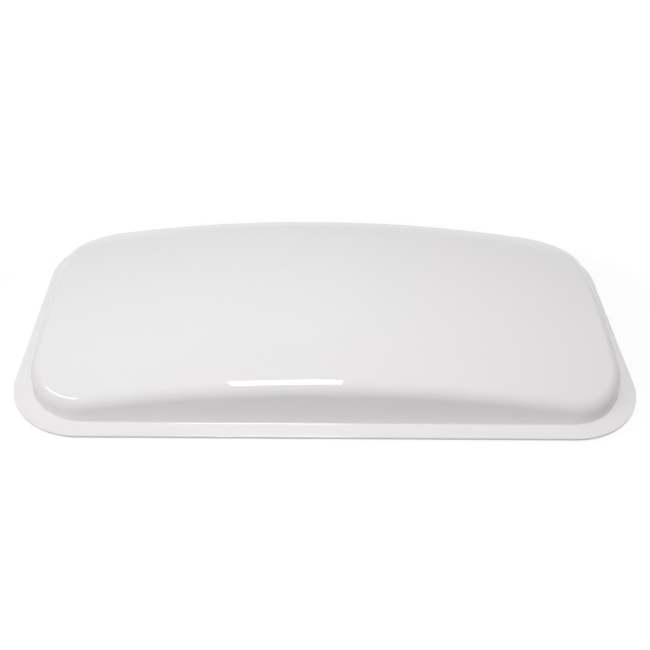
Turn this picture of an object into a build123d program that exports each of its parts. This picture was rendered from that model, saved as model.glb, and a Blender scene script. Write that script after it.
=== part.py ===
from build123d import *
from math import asin, cos, radians, sin, sqrt, tan
import os

os.makedirs("parts", exist_ok=True)

# A fixed roof skylight for a caravan or camper, in millimetres.
# X runs along the skylight, -Y is its front, +Z is up, out of the roof.
# The origin is on the roof, under the middle of the dome, where the seal sits.

# Outer dome, formed from one sheet
dome_length = 784.0            # foot of the end walls, at the top of the flange
dome_width = 371.0             # foot of the long walls, at the top of the flange
dome_corner_radius = 81.0      # plan radius of the walls at their foot
outer_sheet = 3.2              # thickness of the outer moulding
draft = 5.0                    # degrees that every wall leans inwards
crown_height = 93.5            # flange top to the middle of the crown
rise_along = 40.7              # how far the crown falls from the middle to each end wall
rise_across = 37.8             # how far the crown falls from the middle to each long wall
shoulder_radius = 21.5         # round-over between the crown and the walls
foot_radius = 2.0              # hollow fillet between the walls and the flange

# Flange of the outer dome
side_ledge = 22.5              # flange showing outside the long walls
end_ledge = 24.0               # and outside the end walls
flange_corner_radius = 100.0

# Inner dome, formed from a thinner clear sheet with a plain vaulted top
inner_sheet = 1.5
wall_gap = 6.0                 # still air between the two walls
vault_height = 34.0            # flange top to the ridge of the vault
vault_rise = 20.0              # how far the vault falls from its ridge to the long walls
inner_shoulder_radius = 16.0   # the bevel between the vault and the walls touches this round
inner_foot_radius = 4.0        # and the one between the walls and the inner flange this
roof_clearance = 0.5           # inner flange to the roof

# Glazing tape between the two flanges
tape_thickness = 0.5
tape_width = 9.0
tape_joint = 0.6               # open butt joint at the middle of the rear side

# Foam seal under the outer flange
seal_width = 8.5
seal_setback = 1.5             # from the rim of the flange to the seal
seal_to_inner_flange = 0.5
seal_joint = 0.3               # between the ends of neighbouring lengths

# Breather plugs in the end walls of the inner dome
plug_height = 18.0             # above the roof
plug_stem = 5.0
plug_fit = 0.1                 # all round the stem
plug_cap = 10.0
plug_cap_thickness = 1.4
plug_barb = 7.0
plug_barb_length = 2.6
plug_tip = 4.0
plug_vent = 1.6                # bore right through the plug

overshoot = 10.0               # cutting bodies run past the form by this much

# Levels, from the roof up
inner_flange_top = roof_clearance + inner_sheet
flange_bottom = inner_flange_top + tape_thickness
flange_top = flange_bottom + outer_sheet

# The flange outline
overall_length = dome_length + 2 * end_ledge
overall_width = dome_width + 2 * side_ledge

# The crown is one arc across, swung about an axis far below it
along_radius = ((dome_length / 2) ** 2 + rise_along**2) / (2 * rise_along)
across_radius = ((dome_width / 2) ** 2 + rise_across**2) / (2 * rise_across)

# How far the sheet turns at the foot of the walls, and on average at the shoulders
foot_turn = radians(90 - draft)
slope_across = asin((dome_width / 2 - shoulder_radius) / across_radius)
slope_along = asin((dome_length / 2 - shoulder_radius) / along_radius)
shoulder_turn = foot_turn - (slope_across + slope_along) / 2

# The inner dome's walls and rim, measured in from the outer dome's
inner_wall_inset = outer_sheet + wall_gap
inner_rim_inset = seal_setback + seal_width + seal_to_inner_flange
vault_half = dome_width / 2 - inner_wall_inset
vault_radius = (vault_half**2 + vault_rise**2) / (2 * vault_rise)


def flange_outline(inset):
    """The flange's plan, drawn in by the same amount all round."""
    return RectangleRounded(
        overall_length - 2 * inset,
        overall_width - 2 * inset,
        flange_corner_radius - inset,
    )


def flat_ring(outer_inset, inner_inset, bottom, top):
    """A flat strip that follows the flange all the way round."""
    plan = flange_outline(outer_inset) - flange_outline(inner_inset)
    return extrude(Pos(0, 0, bottom) * plan, amount=top - bottom)


def walls(inset, foot_level):
    """A solid block with the drafted walls, moved in square to their surface."""
    grow = (flange_top - foot_level) * tan(radians(draft)) - inset / cos(radians(draft))
    foot = RectangleRounded(
        dome_length + 2 * grow,
        dome_width + 2 * grow,
        dome_corner_radius + grow,
    )
    height = flange_top + crown_height + overshoot - foot_level
    return extrude(Pos(0, 0, foot_level) * foot, amount=height, taper=draft)


def arch(radius, top, bottom):
    """The section across the skylight under an arc, wider than the dome."""
    half = dome_width / 2 + overshoot
    edge = top - radius + sqrt(radius**2 - half**2)
    outline = ThreePointArc((-half, edge), (0, top), (half, edge))
    outline += Polyline((half, edge), (half, bottom), (-half, bottom), (-half, edge))
    return Plane.YZ * make_face(outline)


def under_crown(inset, foot_level):
    """Everything under the double-crowned surface, moved in square to it."""
    crown_top = flange_top + crown_height
    section = arch(across_radius - inset, crown_top - inset, foot_level - overshoot)
    return revolve(section, Axis((0, 0, crown_top - along_radius), (0, 1, 0)))


def under_vault(inset, foot_level):
    """Everything under the straight vault, moved in square to it."""
    section = arch(vault_radius - inset, flange_top + vault_height - inset, foot_level)
    return extrude(section, amount=dome_length / 2, both=True)


def bevel_setback(radius, turn):
    """Where a bevel starts, back from the corner, if it touches the middle of a round."""
    return radius * (tan(turn / 2) - tan(turn / 4))


def bevel_crown(dome, radius, turn):
    """One bevel round the edge of the crown."""
    crown = dome.faces().sort_by(Axis.Z)[-1]
    return chamfer(crown.edges(), bevel_setback(radius, turn))


def round_crown(dome, radius, turn):
    """Three bevels that touch the same round: at its middle, then one on each side of that."""
    dome = bevel_crown(bevel_crown(dome, radius, turn), radius, turn / 2)
    upright = dome.faces().sort_by(lambda face: abs(face.normal_at().Z))[:8]
    tops = [face.edges().sort_by(Axis.Z)[-1] for face in upright]
    return chamfer(tops, bevel_setback(radius, turn / 2))


def foot_edges(block):
    """The line where the walls meet the flat round them."""
    level_faces = block.faces().filter_by(Axis.Z)
    ledge_face = level_faces.filter_by(lambda face: face.inner_wires())[0]
    return ledge_face.inner_wires()[0].edges()


def slab_below(level):
    """What a mould would have under a flange: it cuts the flange's underside flat."""
    return extrude(Pos(0, 0, level - overshoot) * flange_outline(-overshoot), amount=overshoot)


def plug_planes():
    """Planes on the outside of the two inner end walls, facing outwards."""
    lean = radians(draft)
    reach = dome_length / 2 - inner_wall_inset / cos(lean) - (plug_height - flange_top) * tan(lean)
    return [
        Plane((side * reach, 0, plug_height), x_dir=(0, 1, 0), z_dir=(side * cos(lean), 0, sin(lean)))
        for side in (-1, 1)
    ]


def breather_plug():
    """A rubber plug with its cap inside the wall and its barb in the air gap."""
    vent = plug_vent / 2
    seat = -inner_sheet
    cap_end = seat - plug_cap_thickness
    half_section = Polyline(
        (vent, cap_end),
        (plug_cap / 2, cap_end),
        (plug_cap / 2, seat),
        (plug_stem / 2, seat),
        (plug_stem / 2, 0),
        (plug_barb / 2, 0),
        (plug_tip / 2, plug_barb_length),
        (vent, plug_barb_length),
        close=True,
    )
    return revolve(Plane.XZ * make_face(half_section), Axis.Z)


def outer_dome():
    """Crown, shoulder, walls, foot and flange, formed from one sheet of even thickness."""
    below = flange_bottom - overshoot
    outside = round_crown(
        walls(0, flange_bottom) & under_crown(0, flange_bottom),
        shoulder_radius,
        shoulder_turn,
    )
    outside += extrude(Pos(0, 0, flange_bottom) * flange_outline(0), amount=outer_sheet)
    inside = round_crown(
        walls(outer_sheet, below) & under_crown(outer_sheet, below),
        shoulder_radius - outer_sheet,
        shoulder_turn,
    )
    inside += slab_below(flange_bottom)
    outside = fillet(foot_edges(outside), foot_radius)
    return outside - chamfer(foot_edges(inside), bevel_setback(foot_radius + outer_sheet, foot_turn))


def inner_dome():
    """A shallow vaulted tray with a narrow flange, drilled for the plugs."""
    below = roof_clearance - overshoot
    outside = bevel_crown(
        walls(inner_wall_inset, roof_clearance) & under_vault(0, roof_clearance),
        inner_shoulder_radius,
        foot_turn,
    )
    outside += extrude(Pos(0, 0, roof_clearance) * flange_outline(inner_rim_inset), amount=inner_sheet)
    inside = bevel_crown(
        walls(inner_wall_inset + inner_sheet, below) & under_vault(inner_sheet, below),
        inner_shoulder_radius - inner_sheet,
        foot_turn,
    )
    inside += slab_below(roof_clearance)
    outside = chamfer(foot_edges(outside), bevel_setback(inner_foot_radius, foot_turn))
    inside = chamfer(foot_edges(inside), bevel_setback(inner_foot_radius + inner_sheet, foot_turn))
    tray = outside - inside
    drill = Cylinder(plug_stem / 2 + plug_fit, 4 * inner_sheet)
    for plane in plug_planes():
        tray -= plane * drill
    return tray


def breather_plugs():
    return Compound([plane * breather_plug() for plane in plug_planes()])


def glazing_tape():
    ring = flat_ring(inner_rim_inset, inner_rim_inset + tape_width, inner_flange_top, flange_bottom)
    joint = Pos(0, overall_width / 2, flange_bottom) * Box(tape_joint, overall_width / 2, flange_bottom)
    return ring - joint


def seal_lengths():
    """The foam seal: two straight lengths and two end lengths bent round the corners."""
    ring = flat_ring(seal_setback, seal_setback + seal_width, 0, flange_bottom)
    straight = overall_length - 2 * flange_corner_radius
    middle = Box(straight - seal_joint, overall_width, 2 * flange_bottom)
    ends = ring - Box(straight + seal_joint, overall_width, 2 * flange_bottom)
    front, rear = (ring & middle).solids().sort_by(Axis.Y)
    left, right = ends.solids().sort_by(Axis.X)
    return {
        "front_seal": front,
        "rear_seal": rear,
        "left_end_seal": left,
        "right_end_seal": right,
    }


nodes = {
    "outer_dome": outer_dome(),
    "inner_dome": inner_dome(),
    "glazing_tape": glazing_tape(),
    "breather_plugs": breather_plugs(),
    **seal_lengths(),
}

for name, shape in nodes.items():
    export_step(shape, f"parts/{name}.step")
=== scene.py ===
from math import ceil, cos, pi, radians, sin, tan

import bpy
import numpy as np
from mathutils import Matrix, Vector


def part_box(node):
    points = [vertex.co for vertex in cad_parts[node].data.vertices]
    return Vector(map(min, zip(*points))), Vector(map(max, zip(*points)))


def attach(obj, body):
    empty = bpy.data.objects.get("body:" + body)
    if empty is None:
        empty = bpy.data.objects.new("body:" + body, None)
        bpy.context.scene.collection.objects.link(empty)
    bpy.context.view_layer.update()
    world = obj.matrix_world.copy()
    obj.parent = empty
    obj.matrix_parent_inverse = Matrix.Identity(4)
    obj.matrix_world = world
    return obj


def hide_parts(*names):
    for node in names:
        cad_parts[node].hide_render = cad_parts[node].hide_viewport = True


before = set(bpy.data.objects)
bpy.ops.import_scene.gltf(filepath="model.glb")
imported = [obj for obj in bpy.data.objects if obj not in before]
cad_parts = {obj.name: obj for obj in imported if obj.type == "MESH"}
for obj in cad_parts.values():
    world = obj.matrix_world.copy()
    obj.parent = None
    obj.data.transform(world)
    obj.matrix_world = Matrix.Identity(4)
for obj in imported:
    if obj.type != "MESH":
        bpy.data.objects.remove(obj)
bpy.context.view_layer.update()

print("frame loaded")

# camera, fitted to the outline and the shoulder line in the photo
camera = {
    "place": (-0.0379, -0.9061, 0.8295),
    "down": 42.18,           # degrees below the horizon
    "turn": 2.25,            # degrees to the right of straight ahead
    "tilt": 2.08,            # degrees about the line of sight
    "lens": 47.09,           # mm
    "sensor": 36,            # mm
    "farthest": 50,          # metres, as far as it sees
}

cameraData = bpy.data.cameras.new("camera")
cameraData.lens = camera["lens"]
cameraData.sensor_width = camera["sensor"]
cameraData.clip_end = camera["farthest"]
cameraObject = bpy.data.objects.new("camera", cameraData)
bpy.context.scene.collection.objects.link(cameraObject)
cameraObject.matrix_world = (
    Matrix.Translation(camera["place"])
    @ Matrix.Rotation(radians(-camera["turn"]), 4, "Z")
    @ Matrix.Rotation(radians(90 - camera["down"]), 4, "X")
    @ Matrix.Rotation(radians(camera["tilt"]), 4, "Z")
)
bpy.context.scene.camera = cameraObject
print("camera placed")


# outlines seen from above

def arcPoints(centre, radius, start, end, steps):
    # each with its place, its outward direction and how sharply the line bends
    points = []
    for step in range(steps + 1):
        angle = radians(start + (end - start) * step / steps)
        outX, outY = cos(angle), sin(angle)
        points.append((centre[0] + radius * outX, centre[1] + radius * outY, outX, outY, 1 / radius))
    return points


def straightPoints(first, last, spacing):
    # between two ends, without the ends, facing the way that the first end faces
    alongX, alongY = last[0] - first[0], last[1] - first[1]
    count = ceil(np.hypot(alongX, alongY) / spacing)
    points = []
    for step in range(1, count):
        fraction = step / count
        points.append((first[0] + alongX * fraction, first[1] + alongY * fraction, *first[2:4], 0))
    return points


def roundedOutline(halfLength, halfWidth, radius, spacing, cornerSteps):
    # anticlockwise from the front right corner: places, outward directions and bends
    x, y = halfLength - radius, halfWidth - radius
    corners = [((x, -y), -90), ((x, y), 0), ((-x, y), 90), ((-x, -y), 180)]
    arcs = [arcPoints(centre, radius, start, start + 90, cornerSteps) for centre, start in corners]
    rows = []
    for arc, following in zip(arcs, arcs[1:] + arcs[:1]):
        rows += arc + straightPoints(arc[-1], following[0], spacing)
    rows = np.array(rows)
    return rows[:, 0:2], rows[:, 2:4], rows[:, 4]


def outsideRounded(places, halfLength, halfWidth, radius):
    # distance outside a rounded rectangle, below zero inside it
    offset = np.abs(places) - [halfLength - radius, halfWidth - radius]
    beyond = np.linalg.norm(np.maximum(offset, 0), axis=1)
    return beyond + np.minimum(offset.max(axis=1), 0) - radius


def crossing(test, low, high, halvings=48):
    # where each test goes from below zero to above it
    low, high = low.copy(), high.copy()
    for _ in range(halvings):
        middle = (low + high) / 2
        above = test(middle) > 0
        high = np.where(above, middle, high)
        low = np.where(above, low, middle)
    return (low + high) / 2


def alongLoop(values, distance, total):
    # rate of change round a closed line
    wrapped = np.concatenate([values[-2:], values, values[:2]])
    places = np.concatenate([distance[-2:] - total, distance, distance[:2] + total])
    return np.gradient(wrapped, places, axis=0)[2:-2]


# meshes

def addPiece(name, places, faces, normals=None, flatFaces=()):
    mesh = bpy.data.meshes.new(name)
    mesh.from_pydata([tuple(place) for place in places], [], faces)
    mesh.update()
    for polygon in mesh.polygons:
        polygon.use_smooth = polygon.index not in flatFaces
    if normals is not None:
        mesh.normals_split_custom_set_from_vertices([tuple(normal) for normal in normals])
    piece = bpy.data.objects.new(name, mesh)
    bpy.context.scene.collection.objects.link(piece)
    return piece


def crownNormals(level, x, y, nudge=1e-5):
    # from how the level changes over a very short way, in metres
    slopeX = (level(x + nudge, y) - level(x - nudge, y)) / (2 * nudge)
    slopeY = (level(x, y + nudge) - level(x, y - nudge)) / (2 * nudge)
    normals = np.stack([-slopeX, -slopeY, np.ones_like(slopeX)], axis=-1)
    return normals / np.linalg.norm(normals, axis=-1, keepdims=True)


def shoulderBalls(sheet, level, places, outward):
    # balls that touch the wall and the crown: how far in, how high, and how the crown rises there
    lean, shoulder = radians(sheet["draft"]), sheet["shoulderRadius"]

    def ballUnder(inset):
        x, y = (places - outward * inset[:, None]).T
        normals = crownNormals(level, x, y)
        rise = (normals[:, 0:2] * outward).sum(axis=1) / normals[:, 2]
        length = np.sqrt(1 + rise**2)
        return inset + shoulder * rise / length, level(x, y) - shoulder / length, rise

    def clearOfWall(inset):
        across, up, _ = ballUnder(inset)
        return across * cos(lean) - up * sin(lean) - shoulder
    nearest, furthest = np.zeros(len(places)), np.full(len(places), 3 * shoulder)
    return ballUnder(crossing(clearOfWall, nearest, furthest))


def sheetSection(sheet, flangeReach, balls):
    # columns from the rim to the crown: inset, height and the direction up the section, as run and climb
    lean = radians(sheet["draft"])
    foot, shoulder = sheet["footRadius"], sheet["shoulderRadius"]
    ballAcross, ballUp, rise = balls
    columns = []

    def column(*values):
        columns.append([np.broadcast_to(value, flangeReach.shape).astype(float) for value in values])
    rimInset = sheet["rimRadius"] - flangeReach
    footInset = foot * (sin(lean) - 1) / cos(lean)
    for fraction in np.linspace(0, 1, sheet["flangeColumns"] + 1):
        column(rimInset + (footInset - rimInset) * fraction, 0, 1, 0)
    for angle in np.linspace(0, pi / 2 - lean, sheet["footColumns"] + 1)[1:]:
        column(footInset + foot * sin(angle), foot * (1 - cos(angle)), cos(angle), sin(angle))
    wallInset, wallHeight = columns[-1][0:2]
    headInset, headHeight = ballAcross - shoulder * cos(lean), ballUp + shoulder * sin(lean)
    for fraction in np.linspace(0, 1, sheet["wallColumns"] + 1)[1:]:
        inset = wallInset + (headInset - wallInset) * fraction
        height = wallHeight + (headHeight - wallHeight) * fraction
        column(inset, height, sin(lean), cos(lean))
    lastAngle = np.arctan2(1, rise)
    for fraction in np.linspace(0, 1, sheet["shoulderColumns"] + 1)[1:]:
        angle = lean + (lastAngle - lean) * fraction
        inset = ballAcross - shoulder * np.cos(angle)
        column(inset, ballUp + shoulder * np.sin(angle), np.sin(angle), np.cos(angle))
    return columns


def sheetTop(sheet, level, outline, section):
    # the top side, from the rim to the spine of the crown: places and normals
    places, outward, bend = outline
    forward = np.stack([-outward[:, 1], outward[:, 0]], axis=1)
    steps = np.linalg.norm(np.roll(places, -1, axis=0) - places, axis=1)
    distance = np.concatenate([[0], np.cumsum(steps)[:-1]])
    total = steps.sum()
    top = []
    for inset, height, run, climb in section:
        flat = places - outward * inset[:, None]
        insetChange = alongLoop(inset, distance, total)[:, None]
        around = forward * (1 - bend * inset)[:, None] - outward * insetChange
        around = np.column_stack([around, alongLoop(height, distance, total)])
        upward = np.column_stack([-outward * run[:, None], climb])
        normals = np.cross(around, upward)
        normals = normals / np.linalg.norm(normals, axis=1, keepdims=True)
        top.append((np.column_stack([flat, height]), normals))
    edge = top[-1][0][:, 0:2]
    spineEnd = sheet["length"] / 2 - sheet["width"] / 2
    spine = np.column_stack([np.clip(places[:, 0], -spineEnd, spineEnd), np.zeros(len(places))])
    for fraction in np.linspace(0, 1, sheet["crownColumns"] + 1)[1:]:
        x, y = (edge + (spine - edge) * fraction).T
        top.append((np.column_stack([x, y, level(x, y)]), crownNormals(level, x, y)))
    return top


def sheetRim(sheet, places, outward, flangeReach):
    # round the edge of the flange, from the underside to the top side: places and normals
    thickness, rim, underRim = sheet["thickness"], sheet["rimRadius"], sheet["underRimRadius"]
    quarter = np.linspace(0, pi / 2, sheet["rimColumns"] + 1)
    turns = [(angle, underRim, underRim - thickness) for angle in -quarter[::-1]]
    turns += [(angle, rim, -rim) for angle in quarter[:-1]]
    columns = []
    for angle, radius, centre in turns:
        flat = places + outward * (flangeReach - radius + radius * cos(angle))[:, None]
        height = np.full(len(places), centre + radius * sin(angle))
        climb = np.full(len(places), sin(angle))
        normals = np.column_stack([outward * cos(angle), climb])
        columns.append((np.column_stack([flat, height]), normals))
    return columns


def closedSheet(name, columns, lift):
    # skins the columns, which start and end on the spine, where points that share a place are one point
    perMetre = 1e6           # places are told apart to a micrometre
    count = len(columns[0][0])
    vertices, vertexNormals, known = [], [], {}
    numbers = np.zeros((len(columns), count), int)
    for row, (places, normals) in enumerate(columns):
        onSpine = row in (0, len(columns) - 1)
        for index, (x, y, height) in enumerate(places):
            key = (row, round(x * perMetre)) if onSpine else None
            if key in known:
                numbers[row][index] = known[key]
                continue
            numbers[row][index] = len(vertices)
            if onSpine:
                known[key] = len(vertices)
            vertices.append((x, y, height + lift))
            vertexNormals.append(normals[index])
    faces = []
    for lower, upper in zip(numbers, numbers[1:]):
        for index in range(count):
            after = (index + 1) % count
            ring = [lower[index], lower[after], upper[after], upper[index]]
            ring = [int(corner) for spot, corner in enumerate(ring) if corner != ring[spot - 1]]
            if len(ring) > 2:
                faces.append(ring)
    print(name, len(vertices), "points")
    return addPiece(name, vertices, faces, vertexNormals)


def formedSheet(name, sheet, level):
    # a domed sheet: rim, flange, hollow foot, drafted wall, round shoulder and crown, and the same below
    halfLength, halfWidth = sheet["length"] / 2, sheet["width"] / 2
    outline = roundedOutline(
        halfLength, halfWidth, sheet["cornerRadius"], sheet["spacing"], sheet["cornerSteps"])
    places, outward, _ = outline

    def pastFlange(reach):
        return outsideRounded(places + outward * reach[:, None], *sheet["flange"])
    nearest, furthest = np.zeros(len(places)), np.full(len(places), sheet["flangeWithin"])
    flangeReach = crossing(pastFlange, nearest, furthest)
    balls = shoulderBalls(sheet, level, places, outward)
    top = sheetTop(sheet, level, outline, sheetSection(sheet, flangeReach, balls))
    under = [(place - sheet["thickness"] * normal, -normal) for place, normal in top[::-1]]
    rim = sheetRim(sheet, places, outward, flangeReach)
    return closedSheet(name, under + rim + top, sheet["flangeTop"])


def softStrip(name, path, strip, bottom, top):
    # along a line of places and sideways directions, with round edges and sides that swell a little
    halfWidth, edge, steps = strip["width"] / 2, strip["edge"], strip["edgeSteps"]
    cornerIn = halfWidth - strip["edgeInset"] - edge
    section = []
    for side, height, start in ((1, top - edge, 0), (-1, top - edge, 90),
                                (-1, bottom + edge, 180), (1, bottom + edge, 270)):
        for step in range(steps + 1):
            angle = radians(start + 90 * step / steps)
            section.append((side * cornerIn + edge * cos(angle), height + edge * sin(angle)))
        if start in (90, 270):
            swollen = side * (halfWidth - strip["sideInset"])
            heights = np.linspace(section[-1][1], bottom + top - section[-1][1], steps + 1)[1:-1]
            section += [(swollen, height) for height in heights]
    vertices = []
    for x, y, sideX, sideY in path:
        vertices += [(x + sideX * across, y + sideY * across, height) for across, height in section]
    size = len(section)
    faces = []
    for first in range(0, len(vertices) - size, size):
        for index in range(size):
            after = (index + 1) % size
            faces.append([first + index, first + size + index, first + size + after, first + after])
    faces.append(list(range(size)))
    faces.append(list(range(len(vertices) - 1, len(vertices) - size - 1, -1)))
    return addPiece(name, vertices, faces, flatFaces=(len(faces) - 2, len(faces) - 1))


def turned(name, section, facets, placing):
    # a section of radius and height, spun once round
    vertices, faces = [], []
    size = len(section)
    for step in range(facets):
        angle = 2 * pi * step / facets
        vertices += [placing @ Vector((r * cos(angle), r * sin(angle), height)) for r, height in section]
    for step in range(facets):
        first, second = step * size, (step + 1) % facets * size
        for index in range(size):
            after = (index + 1) % size
            faces.append([first + index, second + index, second + after, first + after])
    return addPiece(name, vertices, faces)


# finishes

class Reading:
    # wraps a socket, so that shader sums read as plain sums
    def __init__(self, finish, socket):
        self.finish, self.socket = finish, socket

    def sum(self, operation, first, second):
        return self.finish.node("ShaderNodeMath", {"operation": operation}, {0: first, 1: second}, 0)

    def __add__(self, other):
        return self.sum("ADD", self, other)

    def __radd__(self, other):
        return self.sum("ADD", other, self)

    def __sub__(self, other):
        return self.sum("SUBTRACT", self, other)

    def __rsub__(self, other):
        return self.sum("SUBTRACT", other, self)

    def __mul__(self, other):
        return self.sum("MULTIPLY", self, other)

    def __rmul__(self, other):
        return self.sum("MULTIPLY", other, self)


class Finish:
    # the nodes of a material or of the world
    def __init__(self, holder, shader="Principled BSDF"):
        holder.use_nodes = True
        self.holder = holder
        self.tree = holder.node_tree
        self.shader = self.tree.nodes[shader]

    def node(self, kind, settings, inputs, output):
        # settings first, then values or links for its sockets
        made = self.tree.nodes.new(kind)
        for key, value in settings.items():
            setattr(made, key, value)
        for key, value in inputs.items():
            self.feed(made.inputs[key], value)
        return Reading(self, made.outputs[output])

    def feed(self, socket, value):
        if isinstance(value, Reading):
            self.tree.links.new(value.socket, socket)
        elif socket.type == "RGBA":
            socket.default_value = (*value, 1)
        else:
            socket.default_value = value

    def place(self):
        return self.node("ShaderNodeTexCoord", {}, {}, "Object")

    def along(self, axis):
        return self.node("ShaderNodeSeparateXYZ", {}, {"Vector": self.place()}, axis)

    def cloud(self, scale, detail, stretch=(1, 1, 1)):
        spread = self.node("ShaderNodeMapping", {}, {"Vector": self.place(), "Scale": stretch}, "Vector")
        return self.node("ShaderNodeTexNoise", {}, {"Vector": spread, "Scale": scale, "Detail": detail}, 0)

    def between(self, value, low, high, start=0.0, end=1.0):
        inputs = {"Value": value, "From Min": low, "From Max": high, "To Min": start, "To Max": end}
        return self.node("ShaderNodeMapRange", {"clamp": True}, inputs, 0)

    def blend(self, mask, first, second):
        return self.node("ShaderNodeMix", {"data_type": "RGBA"}, {0: mask, 6: first, 7: second}, 2)

    def relief(self, height, depth, strength):
        inputs = {"Height": height, "Distance": depth, "Strength": strength}
        return self.node("ShaderNodeBump", {}, inputs, 0)

    def set(self, **values):
        for key, value in values.items():
            self.feed(self.shader.inputs[key.replace("_", " ")], value)
        return self.holder


# in the finishes, a cloud is its scale, its detail and how it is stretched,
# and a range is where the change in it begins and ends
opal = {
    # neutral is the sheet's own tone; the other is a painted warm cast of the light on the right end and the
    # front
    "neutral": (0.845, 0.844, 0.843), "paintedWarmCast": (0.846, 0.825, 0.832),
    "paintedWarmCastRight": (0.12, 0.24), "paintedWarmCastFront": (0.205, 0.26), "driftCloud": (5.0, 3.0), "drift": 0.2,
    "hazeCloud": (26.0, 5.0), "hazeRange": (0.35, 0.75), "glossiest": 0.025, "hazed": 0.025,
    "rippleCloud": (9.0, 1.5, (0.45, 1.0, 1.0)), "rippleDepth": 0.0003, "rippleStrength": 0.5,
    "refraction": 1.49,
}


def opalAcrylic():
    finish = Finish(bpy.data.materials.new("opal acrylic, glossy"))
    drift = opal["drift"] * finish.cloud(*opal["driftCloud"])
    # painted light: the right end and the front are blended towards a warm cast of the light, with a cloud
    # along the border
    right = finish.between(finish.along("X") + drift, *opal["paintedWarmCastRight"])
    front = finish.between(drift - finish.along("Y"), *opal["paintedWarmCastFront"])
    tone = finish.blend(right + front - right * front, opal["neutral"], opal["paintedWarmCast"])
    haze = finish.between(finish.cloud(*opal["hazeCloud"]), *opal["hazeRange"])
    rough = opal["glossiest"] + opal["hazed"] * haze
    ripple = finish.relief(finish.cloud(*opal["rippleCloud"]), opal["rippleDepth"], opal["rippleStrength"])
    return finish.set(Base_Color=tone, Roughness=rough, IOR=opal["refraction"], Normal=ripple)


clear = {
    "cool": (0.94, 0.965, 0.97), "pale": (0.96, 0.975, 0.975), "paleRange": (0.3, 0.7),
    "hazeCloud": (18.0, 4.0), "hazeRange": (0.4, 0.8), "glossiest": 0.03, "hazed": 0.05,
    "rippleCloud": (8.0, 1.5), "rippleDepth": 0.0006, "rippleStrength": 0.4,
    "refraction": 1.49, "cover": 0.3,
}


def clearAcrylic():
    finish = Finish(bpy.data.materials.new("clear acrylic, glossy"))
    haze = finish.cloud(*clear["hazeCloud"])
    rough = clear["glossiest"] + clear["hazed"] * finish.between(haze, *clear["hazeRange"])
    tone = finish.blend(finish.between(haze, *clear["paleRange"]), clear["cool"], clear["pale"])
    ripple = finish.relief(finish.cloud(*clear["rippleCloud"]), clear["rippleDepth"], clear["rippleStrength"])
    return finish.set(Base_Color=tone, Roughness=rough, IOR=clear["refraction"], Normal=ripple,
                      Alpha=clear["cover"])


foam = {
    "cellScale": 1400.0, "cellDepth": 0.00025, "cellStrength": 0.6, "roughness": 0.85,
    "stainCloud": (30.0, 4.0), "stainRange": (0.35, 0.7),
    "stained": (0.80, 0.80, 0.785), "clean": (0.86, 0.86, 0.855),
}


def closedCellFoam():
    finish = Finish(bpy.data.materials.new("closed cell foam"))
    inputs = {"Vector": finish.place(), "Scale": foam["cellScale"]}
    cells = finish.node("ShaderNodeTexVoronoi", {"feature": "F1"}, inputs, 0)
    stain = finish.between(finish.cloud(*foam["stainCloud"]), *foam["stainRange"])
    tone = finish.blend(stain, foam["stained"], foam["clean"])
    relief = finish.relief(cells, foam["cellDepth"], foam["cellStrength"])
    return finish.set(Base_Color=tone, Roughness=foam["roughness"], Normal=relief)


weave = {
    "fibreCloud": (220.0, 3.0, (1.0, 1.0, 3.0)), "fibreRange": (0.35, 0.65),
    "fibreDepth": 0.0001, "fibreStrength": 0.5, "roughness": 0.55,
    "dull": (0.84, 0.84, 0.83), "bright": (0.89, 0.89, 0.88),
}


def wovenTape():
    finish = Finish(bpy.data.materials.new("glazing tape"))
    fibre = finish.cloud(*weave["fibreCloud"])
    tone = finish.blend(finish.between(fibre, *weave["fibreRange"]), weave["dull"], weave["bright"])
    relief = finish.relief(fibre, weave["fibreDepth"], weave["fibreStrength"])
    return finish.set(Base_Color=tone, Roughness=weave["roughness"], Normal=relief)


rubber = {
    "grainCloud": (900.0, 2.0), "grainDepth": 0.0001, "grainStrength": 0.4, "roughness": 0.62,
    "bloomCloud": (60.0, 3.0), "bloomRange": (0.35, 0.7),
    "plain": (0.76, 0.76, 0.75), "bloomed": (0.83, 0.83, 0.82),
}


def mouldedRubber():
    finish = Finish(bpy.data.materials.new("moulded rubber"))
    grain = finish.cloud(*rubber["grainCloud"])
    bloom = finish.between(finish.cloud(*rubber["bloomCloud"]), *rubber["bloomRange"])
    tone = finish.blend(bloom, rubber["plain"], rubber["bloomed"])
    relief = finish.relief(grain, rubber["grainDepth"], rubber["grainStrength"])
    return finish.set(Base_Color=tone, Roughness=rubber["roughness"], Normal=relief)


def settle(piece, material, node):
    piece.data.materials.clear()
    piece.data.materials.append(material)
    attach(piece, "root")
    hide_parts(node)


# outer dome
outer = {
    "length": 0.784, "width": 0.371, "cornerRadius": 0.081,
    "thickness": 0.0032, "draft": 5.0,
    "crown": 0.0935, "riseAlong": 0.0407, "riseAcross": 0.0378,
    "shoulderRadius": 0.0215, "footRadius": 0.002, "rimRadius": 0.0012, "underRimRadius": 0.0004,
    "flangeRadius": 0.100, "flangeWithin": 0.08,
    "spacing": 0.0045, "cornerSteps": 30,
    "rimColumns": 4, "flangeColumns": 8, "footColumns": 8,
    "wallColumns": 6, "shoulderColumns": 16, "crownColumns": 34,
}
outerLow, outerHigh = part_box("outer_dome")
outer["flangeTop"] = outerLow.z + outer["thickness"]
outer["flange"] = (outerHigh.x, outerHigh.y, outer["flangeRadius"])


def arcRadius(half, rise):
    return (half**2 + rise**2) / (2 * rise)


alongRadius = arcRadius(outer["length"] / 2, outer["riseAlong"])
acrossRadius = arcRadius(outer["width"] / 2, outer["riseAcross"])


def crownLevel(x, y):
    # one arc across, swung along a longer arc
    swing = alongRadius - acrossRadius + np.sqrt(acrossRadius**2 - y**2)
    return outer["crown"] - alongRadius + np.sqrt(swing**2 - x**2)


settle(formedSheet("outerDome", outer, crownLevel), opalAcrylic(), "outer_dome")
print("outer dome made")

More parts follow.
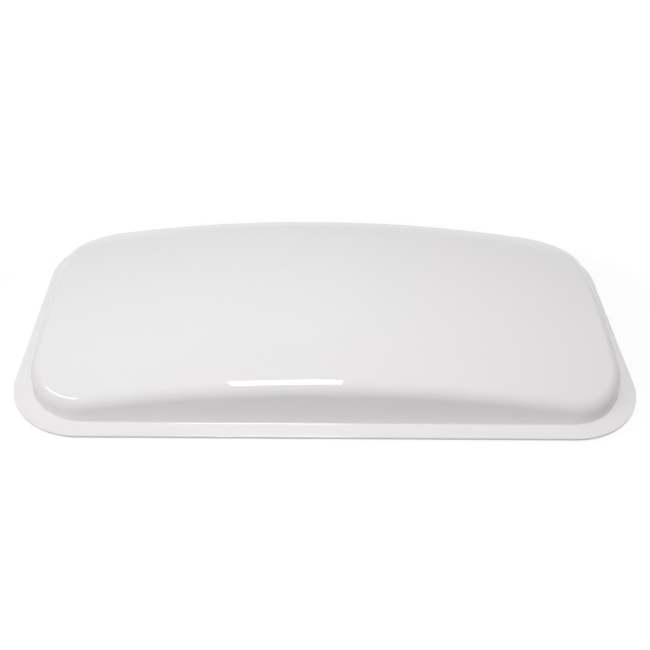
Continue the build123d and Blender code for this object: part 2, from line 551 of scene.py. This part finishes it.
# inner dome
inner = {
    "thickness": 0.0015, "draft": 5.0, "wallGap": 0.006,
    "vault": 0.034, "vaultRise": 0.020,
    "shoulderRadius": 0.016, "footRadius": 0.004, "rimRadius": 0.0003, "underRimRadius": 0.0002,
    "flangeWithin": 0.08,
    "spacing": 0.009, "cornerSteps": 16,
    "rimColumns": 2, "flangeColumns": 3, "footColumns": 6,
    "wallColumns": 3, "shoulderColumns": 8, "crownColumns": 14,
}
innerLow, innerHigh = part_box("inner_dome")
innerLean = radians(inner["draft"])
wallInset = outer["thickness"] + inner["wallGap"]
inner["flangeTop"] = innerLow.z + inner["thickness"]
inner["flange"] = (innerHigh.x, innerHigh.y, outer["flangeRadius"] - (outerHigh.x - innerHigh.x))
# its walls stand inside the outer sheet, and its flange lies lower, so its foot is that much wider
footInward = wallInset / cos(innerLean) - (outer["flangeTop"] - inner["flangeTop"]) * tan(innerLean)
inner["length"] = outer["length"] - 2 * footInward
inner["width"] = outer["width"] - 2 * footInward
inner["cornerRadius"] = outer["cornerRadius"] - footInward
vaultRadius = arcRadius(outer["width"] / 2 - wallInset, inner["vaultRise"])
vaultTop = outer["flangeTop"] + inner["vault"] - inner["flangeTop"]


def vaultLevel(x, y):
    # one arc across, straight along
    return vaultTop - vaultRadius + np.sqrt(vaultRadius**2 - y**2) + 0 * x


settle(formedSheet("innerDome", inner, vaultLevel), clearAcrylic(), "inner_dome")
print("inner dome made")

# foam seal, four lengths under the outer flange
seal = {
    "width": 0.0085, "setback": 0.0015, "joint": 0.0003,
    "edge": 0.0004, "edgeInset": 0.0003, "sideInset": 0.000075, "edgeSteps": 4,
    "spacing": 0.012, "cornerSteps": 20,
}
sealLow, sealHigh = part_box("front_seal")
sealMiddle = seal["setback"] + seal["width"] / 2
sealX, sealY = outerHigh.x - sealMiddle, outerHigh.y - sealMiddle
sealRadius = outer["flangeRadius"] - sealMiddle
bendX, bendY = sealX - sealRadius, sealY - sealRadius


def endPath(side):
    # round one end, anticlockwise, from joint to joint
    start = 0 if side > 0 else 180
    joint = bendX + seal["joint"] / 2
    first = arcPoints((side * bendX, -side * bendY), sealRadius, start - 90, start, seal["cornerSteps"])
    second = arcPoints((side * bendX, side * bendY), sealRadius, start, start + 90, seal["cornerSteps"])
    middle = first[1:] + straightPoints(first[-1], second[0], seal["spacing"]) + second[:-1]
    ends = [(side * joint, -side * sealY, 0, -side), (side * joint, side * sealY, 0, side)]
    return ends[:1] + [row[:4] for row in middle] + ends[1:]


def sidePath(side):
    reach = bendX - seal["joint"] / 2
    count = ceil(2 * reach / seal["spacing"])
    return [(-side * (2 * step / count - 1) * reach, side * sealY, 0, side) for step in range(count + 1)]


sealFoam = closedCellFoam()
for name, path, node in (
    ("sealFront", sidePath(-1), "front_seal"),
    ("sealRear", sidePath(1), "rear_seal"),
    ("sealLeft", endPath(-1), "left_end_seal"),
    ("sealRight", endPath(1), "right_end_seal"),
):
    settle(softStrip(name, path, seal, sealLow.z, sealHigh.z), sealFoam, node)
print("seal made")

# glazing tape between the flanges, one length with a butt joint at the rear
tape = {
    "width": 0.009, "joint": 0.0006,
    "edge": 0.0001, "edgeInset": 0.0001, "sideInset": 0.000025, "edgeSteps": 4,
    "spacing": 0.012, "cornerSteps": 20,
}
tapeLow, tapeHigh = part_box("glazing_tape")
tapeX, tapeY = tapeHigh.x - tape["width"] / 2, tapeHigh.y - tape["width"] / 2
tapeRadius = outer["flangeRadius"] - (outerHigh.x - tapeX)


def tapePath():
    # anticlockwise from one side of the joint to the other
    places, sides, _ = roundedOutline(tapeX, tapeY, tapeRadius, tape["spacing"], tape["cornerSteps"])
    rows = [(*place, *side) for place, side in zip(places, sides)]
    rear = [index for index, row in enumerate(rows) if row[1] > 0]
    first = min(rear, key=lambda index: abs(rows[index][0]))
    rows = [row for row in rows[first:] + rows[:first] if row[1] < 0 or abs(row[0]) > tape["joint"]]
    gapEnd = tape["joint"] / 2
    return [(-gapEnd, tapeY, 0, 1)] + rows + [(gapEnd, tapeY, 0, 1)]


settle(softStrip("glazingTape", tapePath(), tape, tapeLow.z, tapeHigh.z), wovenTape(), "glazing_tape")
print("tape made")

# breather plugs in the end walls of the inner dome
plug = {
    "height": 0.018, "stem": 0.0025, "cap": 0.005, "capThickness": 0.0014, "capRound": 0.0006, "capSteps": 6,
    "barb": 0.0035, "barbLip": 0.0002, "barbLength": 0.0026, "tip": 0.002, "vent": 0.0008, "facets": 40,
}
plugRise = plug["height"] - outer["flangeTop"]
plugReach = outer["length"] / 2 - wallInset / cos(innerLean) - plugRise * tan(innerLean)
seat = -inner["thickness"]
capEnd = seat - plug["capThickness"]
plugSection = [(plug["vent"], capEnd)]
for step in range(plug["capSteps"] + 1):
    angle = radians(90 * step / plug["capSteps"])
    plugSection.append(
        (plug["cap"] - plug["capRound"] * (1 - sin(angle)), capEnd + plug["capRound"] * (1 - cos(angle))))
plugSection += [
    (plug["cap"], seat), (plug["stem"], seat), (plug["stem"], 0),
    (plug["barb"], 0), (plug["barb"], plug["barbLip"]),
    (plug["tip"], plug["barbLength"]), (plug["vent"], plug["barbLength"]),
]
plugRubber = mouldedRubber()
for name, side in (("breatherLeft", -1), ("breatherRight", 1)):
    outOfWall = Vector((side * cos(innerLean), 0, sin(innerLean)))
    facing = outOfWall.to_track_quat("Z", "Y").to_matrix().to_4x4()
    placing = Matrix.Translation((side * plugReach, 0, plug["height"])) @ facing
    settle(turned(name, plugSection, plug["facets"], placing), plugRubber, "breather_plugs")
print("plugs made")

# floor, room and light
studio = {
    # tone of the floor as it lights the skylight, and as it is looked at under a white glow
    "floorSize": 12.0, "floorTone": 0.45, "seenTone": 0.20, "floorRoughness": 0.9,
    # that glow near the skylight and further out, and where it grows, in metres from the middle,
    # where a metre along the skylight counts as half
    "glowNear": 0.82, "glowFar": 1.0, "glowRange": (0.27, 0.42), "glowShape": (0.5, 1.0, 0.0),
    # light from the room, its tone on the right, where that begins and ends, and how fast it fades upwards
    "roomLight": 0.36, "dimSide": 0.15, "dimRange": (0.1, 0.6), "dimFade": 1.1,
}


def seenDirectly(finish):
    # looked at straight, in a reflection or through the clear sheet
    straight, mirrored, through = (
        finish.node("ShaderNodeLightPath", {}, {}, f"Is {kind} Ray")
        for kind in ("Camera", "Glossy", "Transmission"))
    inputs = {0: straight + mirrored, 1: through}
    return finish.node("ShaderNodeMath", {"operation": "ADD", "use_clamp": True}, inputs, 0)


def paleFloor():
    finish = Finish(bpy.data.materials.new("floor"))
    inputs = {0: finish.place(), 1: studio["glowShape"]}
    narrowed = finish.node("ShaderNodeVectorMath", {"operation": "MULTIPLY"}, inputs, 0)
    fromMiddle = finish.node("ShaderNodeVectorMath", {"operation": "LENGTH"}, {0: narrowed}, "Value")
    glow = finish.between(fromMiddle, *studio["glowRange"], studio["glowNear"], studio["glowFar"])
    seen = seenDirectly(finish)
    tone = finish.blend(seen, (studio["floorTone"],) * 3, (studio["seenTone"],) * 3)
    white = finish.blend(seen * glow, (0, 0, 0), (1, 1, 1))
    return finish.set(Base_Color=tone, Roughness=studio["floorRoughness"], Specular_IOR_Level=0.0,
                      Emission_Color=white, Emission_Strength=1.0)


def paleRoom():
    # white to look at, and lights the skylight evenly, less so from low down on the right
    finish = Finish(bpy.data.worlds.new("studio"), "Background")
    direction = finish.node("ShaderNodeTexCoord", {}, {}, "Generated")
    across, up = (finish.node("ShaderNodeSeparateXYZ", {}, {0: direction}, axis) for axis in ("X", "Z"))
    low = finish.between(across - studio["dimFade"] * up, *studio["dimRange"])
    tone = finish.blend(low, (1, 1, 1), (studio["dimSide"],) * 3)
    world = finish.set(Color=tone, Strength=studio["roomLight"])
    lighting = Reading(finish, finish.shader.outputs[0])
    white = finish.node("ShaderNodeBackground", {}, {"Color": (1, 1, 1), "Strength": 1.0}, 0)
    chosen = finish.node("ShaderNodeMixShader", {}, {0: seenDirectly(finish), 1: lighting, 2: white}, 0)
    finish.feed(finish.tree.nodes["World Output"].inputs["Surface"], chosen)
    return world


floorHalf = studio["floorSize"] / 2
floorCorners = [(x * floorHalf, y * floorHalf, 0) for x, y in ((-1, -1), (1, -1), (1, 1), (-1, 1))]
floor = addPiece("floor", floorCorners, [[0, 1, 2, 3]])
floor.data.materials.append(paleFloor())
bpy.context.scene.world = paleRoom()

# places and sizes in metres, power in watts
# the two with a turn face straight down and only draw the two highlights
# the others face the skylight and only light it
lamps = {
    "softbox": {"place": (-0.152, -0.60, 1.5), "size": (0.525, 0.91), "power": 18.0, "turn": 0},
    "strip": {"place": (-1.80, -0.58, 1.5), "size": (1.20, 0.15), "power": 12.0, "turn": -37},
    "overhead": {"place": (-0.20, -0.90, 2.25), "size": (0.75, 1.50), "power": 26.2},
    "sky": {"place": (0.22, 0.40, 1.9), "size": (1.6, 1.2), "power": 3.7},
    "left": {"place": (-2.60, -0.84, 2.17), "size": (0.90, 1.80), "power": 12.4},
    "frontLeft": {"place": (-1.30, -1.30, 0.80), "size": (0.8, 0.8), "power": 1.6},
    "rear": {"place": (0.0, 1.7, 0.75), "size": (1.6, 0.6), "power": 0.6},
}
for name, lamp in lamps.items():
    lampData = bpy.data.lights.new(name, "AREA")
    lampData.shape = "RECTANGLE"
    lampData.size, lampData.size_y = lamp["size"]
    lampData.energy = lamp["power"]
    lampObject = bpy.data.objects.new(name, lampData)
    bpy.context.scene.collection.objects.link(lampObject)
    onlyMirrored = "turn" in lamp
    lampObject.visible_glossy = onlyMirrored
    lampObject.visible_diffuse = not onlyMirrored
    if onlyMirrored:
        facing = Matrix.Rotation(radians(lamp["turn"]), 4, "Z")
    else:
        facing = Vector(lamp["place"]).to_track_quat("Z", "Y").to_matrix().to_4x4()
    lampObject.matrix_world = Matrix.Translation(lamp["place"]) @ facing
bpy.context.scene.view_settings.view_transform = "Standard"
print("studio lit")
